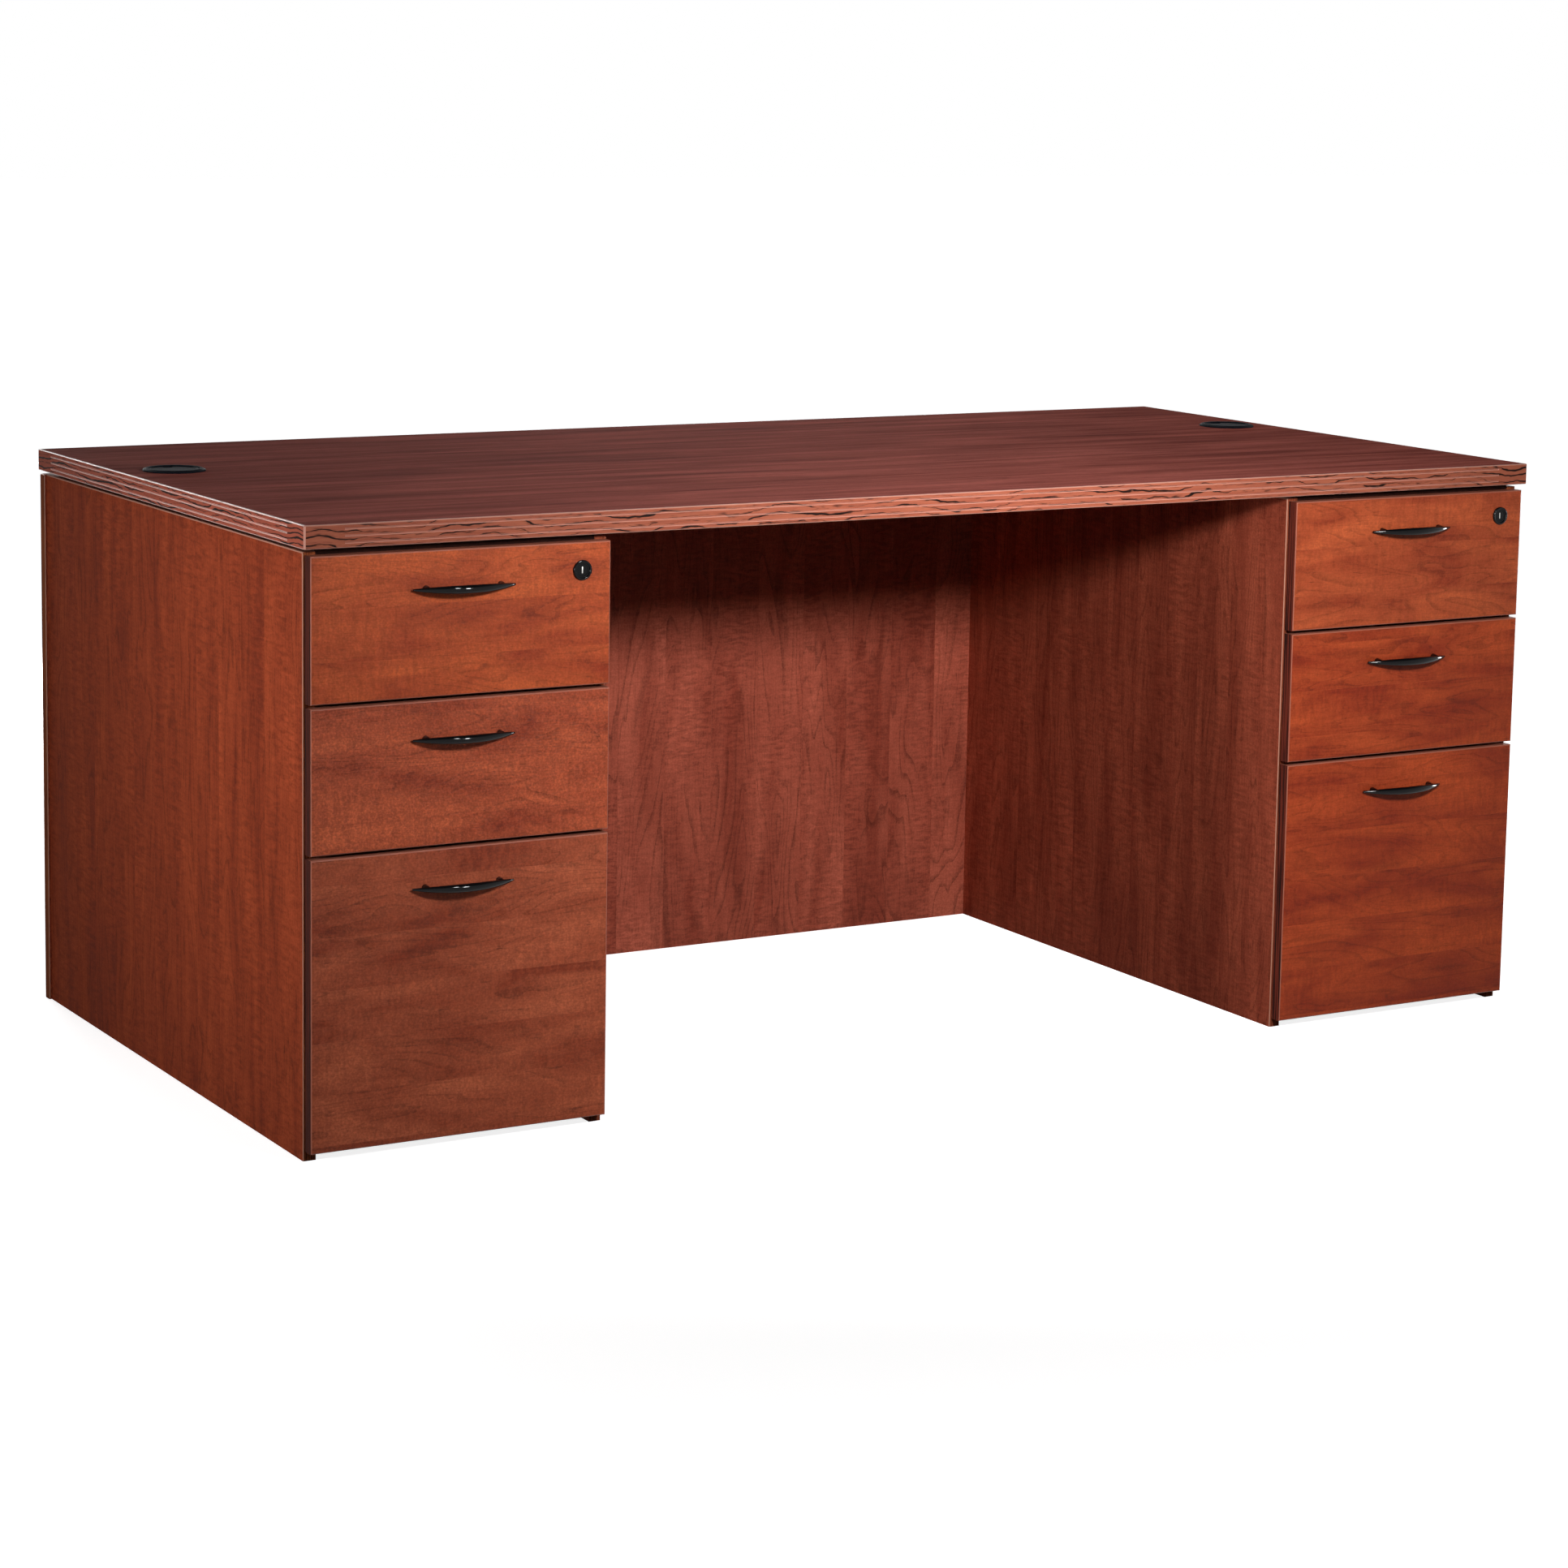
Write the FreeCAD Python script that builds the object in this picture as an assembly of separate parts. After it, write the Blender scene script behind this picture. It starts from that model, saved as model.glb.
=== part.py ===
import FreeCAD, Part
import os

# Double-pedestal desk in laminate, millimetres.
# X runs along the desk, -Y is the sitter's side with the drawers, Z is up from the floor.
# The origin lies on the floor under the middle of the whole desk, drawer pulls included.

# Overall size of the top and the desk
desk_width = 1803.0
desk_depth = 902.0
desk_height = 749.0

# Top: a laminated board with a fluted edge band on all four sides
top_thickness = 28.0
band_thickness = 3.0
band_corner_radius = 2.4
band_edge_radius = 1.6
flute_radius = 1.1
flute_stop = 50.0
flute_drop_shares = (0.205, 0.495, 0.785)

# Carcass boards
panel_thickness = 16.0
panel_edge_radius = 2.0
side_overhang = 5.0
rear_overhang = 2.5
top_gap = 4.5
back_lap = 3.5
pedestal_width = 390.0
modesty_setback = 105.0
base_height = 10.0
rail_height = 28.0

# Drawer fronts, from the top down; the file front spans two box fronts and their gap
drawer_rows = (("upper", 1), ("middle", 1), ("file", 2))
front_thickness = 16.0
front_clearance = 1.0
front_edge_radius = 2.0
front_margin = 2.5
front_gap = 4.3
face_setback = 0.5
top_reveal = 8.0
floor_gap = 11.5

# Drawer boxes: four walls grooved for a thin bottom
wall_thickness = 12.0
wall_rise = 24.0
box_wall_drop = 47.0
file_wall_drop = 75.0
box_depth = 490.0
bottom_thickness = 4.0
dado_depth = 6.0
dado_rise = 10.0
dado_play = 0.2

# Hanging-folder rails clipped over the side walls of the file drawers
clip_thickness = 1.2
clip_skirt = 14.0
clip_crest = 9.0
clip_play = 0.2
clip_inset = 2.0

# Telescopic slides: three nested steel channels on each side of a drawer
slide_space = 12.7
slide_length = 480.0
slide_height = 45.0
slide_thickness = 1.2
slide_bend = 2.4
slide_play = 0.4
slide_rise = 46.0
slide_setback = 3.0

# Bow pulls with pointed tips on two tapered posts
pull_length = 131.0
pull_spacing = 96.0
pull_drop = 45.0
pull_height = 10.4
pull_depth = 9.0
pull_reach = 26.0
pull_tip_size = 2.4
pull_tip_standoff = 3.2
pull_post_radius = 4.6
pull_post_tip_radius = 2.6
pull_section_shares = (-1.0, -0.94, -0.78, -0.45, 0.0, 0.45, 0.78, 0.94, 1.0)
pull_swell_share = 2.2
oval_diagonal_share = 0.7071

# Cam locks in the right upper corner of both upper fronts
lock_inset = 38.0
lock_drop = 33.5
lock_flange_radius = 12.0
lock_flange_thickness = 3.0
lock_flange_edge_radius = 1.2
lock_step_radius = 9.0
lock_step_depth = 1.5
lock_body_radius = 9.5
lock_hole_play = 0.2
plug_radius = 7.0
plug_play = 0.3
plug_recess = 2.0
key_slot_width = 2.2
key_slot_height = 8.4
key_slot_depth = 9.0
cam_thickness = 2.0
cam_width = 10.0
cam_reach = 26.0
cam_gap = 1.0

# Cable grommets in the rear corners of the top
grommet_inset = 72.0
grommet_setback = 312.0
grommet_hole_radius = 35.0
grommet_hole_play = 0.3
grommet_flange_radius = 40.0
grommet_flange_height = 3.5
grommet_flange_bevel = 1.8
grommet_seat_radius = 32.7
grommet_bore_radius = 30.0
grommet_seat_depth = 1.0
grommet_sleeve_length = 24.0
cap_play = 0.4
cap_thickness = 3.4
cap_dish_depth = 0.7
cap_rim_width = 3.0
cap_notch_width = 16.0
cap_notch_depth = 12.5

# How far a cutting tool runs past the face that it cuts
overrun = 1.0
# Two places closer than this are the same place
same_place = 0.001

# Derived places
half_width = desk_width / 2
top_under = desk_height - top_thickness
top_front = (pull_reach - face_setback - desk_depth) / 2
top_rear = top_front + desk_depth
face_y = top_front + face_setback
front_rear = face_y + front_thickness
panel_front = front_rear + front_clearance
panel_top = top_under - top_gap
back_rear = top_rear - rear_overhang
back_front = back_rear - panel_thickness
outer_x = half_width - side_overhang
inner_x = outer_x - pedestal_width
pedestal_x = (outer_x + inner_x) / 2
clear_half = pedestal_width / 2 - panel_thickness
front_half = pedestal_width / 2 - front_margin
box_half = clear_half - slide_space
slide_front = panel_front + slide_setback

parts = {}


def vector(x, y, z):
    return FreeCAD.Vector(x, y, z)


def block(x0, x1, y0, y1, z0, z1):
    low_x = min(x0, x1)
    return Part.makeBox(abs(x1 - x0), y1 - y0, z1 - z0, vector(low_x, y0, z0))


def rounded(shape, radius, test):
    edges = [edge for edge in shape.Edges if test(edge.CenterOfMass)]
    return shape.makeFillet(radius, edges)


def near(a, b):
    return abs(a - b) < same_place


def rod(radius, start, end):
    return Part.makeCylinder(radius, (end - start).Length, start, end - start)


# Top and its edge band


def flute_cutters():
    cutters = []
    x_stop = half_width - flute_stop
    y_low = top_front + flute_stop
    y_high = top_rear - flute_stop
    for share in flute_drop_shares:
        z = desk_height - share * top_thickness
        for y in (top_front, top_rear):
            cutters.append(rod(flute_radius, vector(-x_stop, y, z), vector(x_stop, y, z)))
        for x in (-half_width, half_width):
            cutters.append(rod(flute_radius, vector(x, y_low, z), vector(x, y_high, z)))
    return cutters


def make_top():
    core_half = half_width - band_thickness
    core_front = top_front + band_thickness
    core_rear = top_rear - band_thickness
    core = block(-core_half, core_half, core_front, core_rear, top_under, desk_height)
    whole = block(-half_width, half_width, top_front, top_rear, top_under, desk_height)
    middle_z = (top_under + desk_height) / 2
    whole = rounded(whole, band_corner_radius, lambda c: near(c.z, middle_z))
    whole = rounded(whole, band_edge_radius, lambda c: near(c.z, top_under) or near(c.z, desk_height))
    ring = whole.cut(core).cut(flute_cutters())
    front_space = block(-half_width, half_width, top_front, core_front, top_under, desk_height)
    rear_space = block(-half_width, half_width, core_rear, top_rear, top_under, desk_height)
    left_space = block(-half_width, -core_half, core_front, core_rear, top_under, desk_height)
    right_space = block(core_half, half_width, core_front, core_rear, top_under, desk_height)
    parts["edge_bands_long"] = [ring.common(space) for space in (front_space, rear_space)]
    parts["edge_bands_short"] = [ring.common(space) for space in (left_space, right_space)]
    for x, y in grommet_places():
        low = vector(x, y, top_under - overrun)
        high = vector(x, y, desk_height + overrun)
        core = core.cut(rod(grommet_hole_radius, low, high))
    parts["desktop"] = [core]


# Grommets: a flanged liner and a lift-out cap with a cable notch


def grommet_places():
    x = half_width - grommet_inset
    y = top_rear - grommet_setback
    return ((-x, y), (x, y))


def turned(profile, x, y):
    points = [vector(x + radius, y, z) for radius, z in profile]
    face = Part.Face(Part.makePolygon(points + points[:1]))
    return face.revolve(vector(x, y, 0), vector(0, 0, 1), 360)


def make_grommets():
    flange_top = desk_height + grommet_flange_height
    seat_z = flange_top - grommet_seat_depth - cap_thickness
    sleeve_radius = grommet_hole_radius - grommet_hole_play
    sleeve_low = desk_height - grommet_sleeve_length
    bevel_z = flange_top - grommet_flange_bevel
    bevel_radius = grommet_flange_radius - 2 * grommet_flange_bevel
    liner_profile = (
        (grommet_bore_radius, sleeve_low), (sleeve_radius, sleeve_low), (sleeve_radius, desk_height),
        (grommet_flange_radius, desk_height), (grommet_flange_radius, bevel_z), (bevel_radius, flange_top),
        (grommet_seat_radius, flange_top), (grommet_seat_radius, seat_z), (grommet_bore_radius, seat_z))
    cap_radius = grommet_seat_radius - cap_play
    cap_top = seat_z + cap_thickness
    dish_z = cap_top - cap_dish_depth
    dish_radius = cap_radius - cap_rim_width
    cap_profile = (
        (0, seat_z), (cap_radius, seat_z), (cap_radius, cap_top),
        (dish_radius + cap_dish_depth, cap_top), (dish_radius, dish_z), (0, dish_z))
    liners = []
    for side, (x, y) in zip(("left", "right"), grommet_places()):
        liners.append(turned(liner_profile, x, y))
        notch_y = y + cap_radius - cap_notch_depth + cap_notch_width / 2
        notch_low = vector(x, notch_y, seat_z - overrun)
        notch_high = vector(x, notch_y, cap_top + overrun)
        notch = rod(cap_notch_width / 2, notch_low, notch_high)
        notch_half = cap_notch_width / 2
        mouth_y = y + cap_radius + overrun
        mouth = block(x - notch_half, x + notch_half, notch_y, mouth_y, notch_low.z, notch_high.z)
        parts[side + "_grommet_cap"] = [turned(cap_profile, x, y).cut([notch, mouth])]
    parts["grommet_liners"] = liners


# Carcass: two pedestals and the modesty panel between them


def side_panel(x_show, x_hide):
    panel = block(x_show, x_hide, panel_front, back_front, 0, panel_top)
    return rounded(panel, panel_edge_radius,
                   lambda c: near(c.x, x_show) and (near(c.y, panel_front) or near(c.z, panel_top)))


def make_carcass():
    backs = []
    floors = []
    rails = []
    for side, sign in (("left", -1), ("right", 1)):
        end_inside = sign * (outer_x - panel_thickness)
        inner_inside = sign * (inner_x + panel_thickness)
        parts[side + "_end_panel"] = [side_panel(sign * outer_x, end_inside)]
        parts[side + "_inner_panel"] = [side_panel(sign * inner_x, inner_inside)]
        lap_x = sign * (outer_x + back_lap)
        back = block(lap_x, sign * inner_x, back_front, back_rear, 0, panel_top)
        backs.append(rounded(back, panel_edge_radius,
                             lambda c: near(c.x, lap_x) and not near(c.z, 0)
                             or near(c.y, back_rear) and near(c.z, panel_top)))
        floor_top = base_height + panel_thickness
        floors.append(block(end_inside, inner_inside, panel_front, back_front, base_height, floor_top))
        for rail_front in (panel_front, back_front - panel_thickness):
            rail_rear = rail_front + panel_thickness
            rail_low = top_under - rail_height
            rails.append(block(end_inside, inner_inside, rail_front, rail_rear, rail_low, top_under))
    parts["pedestal_backs"] = backs
    parts["pedestal_floors"] = floors
    parts["top_rails"] = rails
    modesty_rear = top_rear - modesty_setback
    modesty_front = modesty_rear - panel_thickness
    parts["modesty_panel"] = [block(-inner_x, inner_x, modesty_front, modesty_rear, 0, top_under)]


# Telescopic slides


def channel(x_web, x_lips, z, height):
    # A folded steel channel along Y, its web at x_web and its open side at x_lips.
    way = 1 if x_lips > x_web else -1
    slide_rear = slide_front + slide_length
    outside = block(x_web, x_lips, slide_front, slide_rear, z - height / 2, z + height / 2)
    x_inside = x_web + way * slide_thickness
    half_inside = height / 2 - slide_thickness
    hollow = block(x_inside, x_lips + way * overrun, slide_front - overrun, slide_rear + overrun,
                   z - half_inside, z + half_inside)
    middle_y = (slide_front + slide_rear) / 2
    outside = rounded(outside, slide_bend, lambda c: near(c.x, x_web) and near(c.y, middle_y))
    return outside.cut(hollow)


def slide_members(x_middle, z):
    # Cabinet, middle and drawer members of both slides of one drawer.
    step = slide_thickness + slide_play
    cabinet = []
    middle = []
    runner = []
    for sign in (-1, 1):
        wall_x = x_middle + sign * clear_half
        box_x = x_middle + sign * box_half
        lips_x = box_x + sign * 2 * slide_play
        cabinet.append(channel(wall_x, lips_x, z, slide_height))
        middle.append(channel(wall_x - sign * step, lips_x, z, slide_height - 2 * step))
        runner.append(channel(box_x, wall_x - sign * 2 * step, z, slide_height - 4 * step))
    return cabinet, middle, runner


# Drawers


def drawer_front(x, low, high, lock_x, lock_z):
    front = block(x - front_half, x + front_half, face_y, front_rear, low, high)
    front = rounded(front, front_edge_radius, lambda c: near(c.y, face_y))
    if lock_x is None:
        return front
    hole_start = vector(lock_x, face_y - overrun, lock_z)
    hole_end = vector(lock_x, front_rear + overrun, lock_z)
    return front.cut(rod(lock_body_radius + lock_hole_play, hole_start, hole_end))


def drawer_box(x, low, high):
    box_front = front_rear
    box_rear = box_front + box_depth
    inside_half = box_half - wall_thickness
    dado_low = low + dado_rise
    dado_high = dado_low + bottom_thickness + 2 * dado_play
    dado_half = inside_half + dado_depth
    dado = block(x - dado_half, x + dado_half, box_front + wall_thickness - dado_depth,
                 box_rear - wall_thickness + dado_depth, dado_low, dado_high)
    walls = []
    for sign in (-1, 1):
        walls.append(block(x + sign * box_half, x + sign * inside_half, box_front, box_rear, low, high))
    for start in (box_front, box_rear - wall_thickness):
        walls.append(block(x - inside_half, x + inside_half, start, start + wall_thickness, low, high))
    bottom_half = dado_half - dado_play
    bottom = block(x - bottom_half, x + bottom_half,
                   box_front + wall_thickness - dado_depth + dado_play,
                   box_rear - wall_thickness + dado_depth - dado_play,
                   dado_low + dado_play, dado_high - dado_play)
    return [wall.cut(dado) for wall in walls], bottom


def hanging_rails(x, high):
    rails = []
    start = front_rear + wall_thickness + clip_inset
    end = front_rear + box_depth - wall_thickness - clip_inset
    for sign in (-1, 1):
        middle_x = x + sign * (box_half - wall_thickness / 2)
        grip_half = wall_thickness / 2 + clip_play
        shell_half = grip_half + clip_thickness
        shell = block(middle_x - shell_half, middle_x + shell_half, start, end,
                      high - clip_skirt, high + clip_play + clip_thickness)
        grip = block(middle_x - grip_half, middle_x + grip_half, start - overrun, end + overrun,
                     high - clip_skirt - overrun, high + clip_play)
        crest_low = high + clip_play + clip_thickness
        crest = block(middle_x - clip_thickness / 2, middle_x + clip_thickness / 2, start, end,
                      crest_low, crest_low + clip_crest)
        rails.append(shell.cut(grip).fuse(crest).removeSplitter())
    return rails


def oval(place, depth, height):
    # Four arcs from crown to front, underside and back of an upright oval.
    crown = vector(0, 0, height / 2)
    nose = vector(0, -depth / 2, 0)
    edges = []
    for first, second in ((crown, nose), (nose, -crown), (-crown, -nose), (-nose, crown)):
        halfway = (first + second) * oval_diagonal_share
        edges.append(Part.Arc(place + first, place + halfway, place + second).toShape())
    return Part.Wire(edges)


def pull_place(share, x, z):
    # Centre of the bow at a share of its half length, on a parabola in plan.
    middle_standoff = pull_reach - pull_depth / 2
    standoff = pull_tip_standoff + (middle_standoff - pull_tip_standoff) * (1 - share ** 2)
    return vector(x + share * pull_length / 2, face_y - standoff, z)


def drawer_pull(x, z):
    sections = []
    for share in pull_section_shares:
        swell = 1 - abs(share) ** pull_swell_share
        depth = pull_tip_size + (pull_depth - pull_tip_size) * swell
        height = pull_tip_size + (pull_height - pull_tip_size) * swell
        sections.append(oval(pull_place(share, x, z), depth, height))
    bow = Part.makeLoft(sections, True)
    post_share = pull_spacing / pull_length
    for share in (-post_share, post_share):
        end = pull_place(share, x, z)
        start = vector(end.x, face_y, end.z)
        post = Part.makeCone(pull_post_radius, pull_post_tip_radius, (end - start).Length, start, end - start)
        bow = bow.fuse(post)
    return bow.removeSplitter()


# Locks: a barrel with a beaded flange in the front, a turning plug and its cam behind the top rail


def make_lock(side, x, z):
    cam_front = panel_front + panel_thickness + cam_gap
    flange_front = vector(x, face_y - lock_flange_thickness, z)
    flange = rod(lock_flange_radius, flange_front, vector(x, face_y, z))
    step_start = vector(x, flange_front.y - overrun, z)
    step_end = vector(x, flange_front.y + lock_step_depth, z)
    flange = flange.cut(rod(lock_step_radius, step_start, step_end))
    flange = rounded(flange, lock_flange_edge_radius, lambda c: near(c.y, flange_front.y))
    body = rod(lock_body_radius, vector(x, face_y, z), vector(x, cam_front, z))
    bore = rod(plug_radius + plug_play, vector(x, flange_front.y - overrun, z), vector(x, cam_front + overrun, z))
    parts[side + "_lock_barrel"] = [flange.fuse(body).cut(bore).removeSplitter()]
    plug_front = flange_front.y + plug_recess
    plug = rod(plug_radius, vector(x, plug_front, z), vector(x, cam_front, z))
    slot = block(x - key_slot_width / 2, x + key_slot_width / 2, plug_front - overrun,
                 plug_front + key_slot_depth, z - key_slot_height / 2, z + key_slot_height / 2)
    parts[side + "_lock_plug"] = [plug.cut(slot)]
    # The cam lies flat at rest, pointing to -X, and stands up behind the top rail when locked.
    half = cam_width / 2
    cam_rear = cam_front + cam_thickness
    arm = block(x - cam_reach + half, x, cam_front, cam_rear, z - half, z + half)
    hub = rod(half, vector(x, cam_front, z), vector(x, cam_rear, z))
    tip = rod(half, vector(x - cam_reach + half, cam_front, z), vector(x - cam_reach + half, cam_rear, z))
    parts[side + "_lock_cam"] = [arm.fuse([hub, tip]).removeSplitter()]


def make_drawers():
    cabinet_rails = []
    unit_count = sum(units for row, units in drawer_rows)
    fronts_height = top_under - top_reveal - floor_gap
    unit_height = (fronts_height - (unit_count - 1) * front_gap) / unit_count
    for side, x in (("left", -pedestal_x), ("right", pedestal_x)):
        high = top_under - top_reveal
        for row, units in drawer_rows:
            name = side + "_" + row + "_"
            low = high - units * unit_height - (units - 1) * front_gap
            wall_drop = file_wall_drop if row == "file" else box_wall_drop
            lock_x = None
            lock_z = high - lock_drop
            if row == "upper":
                lock_x = x + front_half - lock_inset
                make_lock(side, lock_x, lock_z)
            parts[name + "drawer_front"] = [drawer_front(x, low, high, lock_x, lock_z)]
            walls, bottom = drawer_box(x, low + wall_rise, high - wall_drop)
            parts[name + "drawer_walls"] = walls
            parts[name + "drawer_bottom"] = [bottom]
            parts[name + "drawer_pull"] = [drawer_pull(x, high - pull_drop)]
            if row == "file":
                parts[name + "hanging_rails"] = hanging_rails(x, high - wall_drop)
            cabinet, middle, runner = slide_members(x, low + wall_rise + slide_rise)
            cabinet_rails += cabinet
            parts[name + "telescope_rails"] = middle
            parts[name + "drawer_runners"] = runner
            high = low - front_gap
    parts["cabinet_rails"] = cabinet_rails


make_top()
make_grommets()
make_carcass()
make_drawers()

os.makedirs("parts", exist_ok=True)
for node, solids in parts.items():
    shape = solids[0] if len(solids) == 1 else Part.makeCompound(solids)
    shape.exportStep("parts/" + node + ".step")
print(len(parts), "nodes")
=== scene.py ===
import bmesh
import bpy
import math
from mathutils import Matrix, Vector


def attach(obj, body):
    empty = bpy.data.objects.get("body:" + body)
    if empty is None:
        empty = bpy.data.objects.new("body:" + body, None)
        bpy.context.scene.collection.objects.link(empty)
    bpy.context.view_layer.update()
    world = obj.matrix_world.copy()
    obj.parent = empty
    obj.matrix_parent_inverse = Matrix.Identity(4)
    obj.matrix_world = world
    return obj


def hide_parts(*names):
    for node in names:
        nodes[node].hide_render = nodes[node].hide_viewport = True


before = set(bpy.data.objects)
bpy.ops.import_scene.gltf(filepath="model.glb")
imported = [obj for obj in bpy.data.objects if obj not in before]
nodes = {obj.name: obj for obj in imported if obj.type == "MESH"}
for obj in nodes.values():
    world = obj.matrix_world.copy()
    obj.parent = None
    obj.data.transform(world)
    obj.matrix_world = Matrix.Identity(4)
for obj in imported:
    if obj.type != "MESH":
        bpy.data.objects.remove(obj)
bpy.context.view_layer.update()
toMetres = (0.001, 0.001, 0.001)
print("frame loaded:", len(nodes), "nodes")


def linear(hexColour):
    shares = [int(hexColour[i:i + 2], 16) / 255 for i in (1, 3, 5)]
    return [c / 12.92 if c <= 0.04045 else ((c + 0.055) / 1.055) ** 2.4 for c in shares] + [1.0]


def addNode(tree, kind, inputs=None, **settings):
    node = tree.nodes.new("ShaderNode" + kind)
    for key, value in settings.items():
        setattr(node, key, value)
    for socket, value in (inputs or {}).items():
        if isinstance(value, bpy.types.NodeSocket):
            tree.links.new(value, node.inputs[socket])
        else:
            node.inputs[socket].default_value = value
    return node


def newMaterial(name):
    material = bpy.data.materials.new(name)
    material.use_nodes = True
    tree = material.node_tree
    return material, tree, tree.nodes["Principled BSDF"]


# ways along and across the grain of a board, and the way that its printed faces look
grainWays = {"X": ((1, 0, 0), (0, 1, 1)), "Z": ((0, 0, 1), (1, 1, 0)), "XY": ((1, 1, 0), (0, 0, 1))}
faceWays = {"X": (1, 0, 0), "Y": (0, 1, 0), "Z": (0, 0, 1), "XY": (1, 1, 0)}

# noise patterns of the printed sheet: size along and across the grain in mm where the board's look
# doesn't give it, an offset that keeps two patterns apart, and the noise's own settings
sheetPatterns = {
    "arch": {"noise": {"Detail": 3.0, "Roughness": 0.36, "Distortion": 0.35}},
    "zone": {"size": (240, 70), "offset": (4.3, 8.1, 0), "noise": {"Detail": 1.0}},
    "mottle": {"noise": {"Detail": 5.0, "Roughness": 0.56, "Distortion": 0.35}},
    "ripple": {"noise": {"Detail": 2.0, "Distortion": 0.5}},
    "fibre": {"size": (60, 2.2), "noise": {"Detail": 3.0, "Roughness": 0.6}},
    "pore": {"size": (11, 1.1), "noise": {"Detail": 2.0}},
    "streak": {"size": (42, 3), "noise": {"Detail": 3.0}}}
# where a pattern sets in and is full, and the values that it then gives
sheetReach = {
    "line": {"From Min": 0.62, "From Max": 0.98},
    "zone": {"From Min": 0.34, "From Max": 0.6},
    "ripple": {"From Min": 0.34, "From Max": 0.66, "To Min": -0.5, "To Max": 0.5},
    "pore": {"From Min": 0.5, "From Max": 0.72},
    "streak": {"From Min": 0.69, "From Max": 0.82},
    "gritAndGlint": {"From Min": 0.42, "From Max": 0.68, "To Min": -0.3, "To Max": 0.7},
    "tone": {"From Min": 0.28, "From Max": 0.72},
    "sideStreak": {"From Min": 0.46, "From Max": 0.62}}
# how far a surface may turn from the printed face: the face ends, the arris begins, a side looks upward
turnReach = {
    "edge": {"From Min": 0.985, "From Max": 0.93},
    "arrisHighlight": {"From Min": 0.45, "From Max": 0.68},
    "upward": {"From Min": 0.2, "From Max": 0.7}}
# sizes in mm, the shift from stave to stave in metres; the pressed grit is about 1 mm on the real sheet,
# and drawn coarser to show; the speckle that it adds to the colour is partly painted glint, standing in for its
# sparkle
sheetPrint = {"staveShift": (7.3, 3.1, 0.0), "staveJoint": 0.3, "staveOffset": 0.41, "jointTone": 0.4,
              "still": 0.65, "gritAndGlint": 2.6, "sideStreak": (2.6, 2.6, 120), "poreDepth": 0.35, "relief": 0.5,
              "roughSpan": 0.16, "sideRough": {"To Min": 0.95, "To Max": 0.34}}


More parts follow.
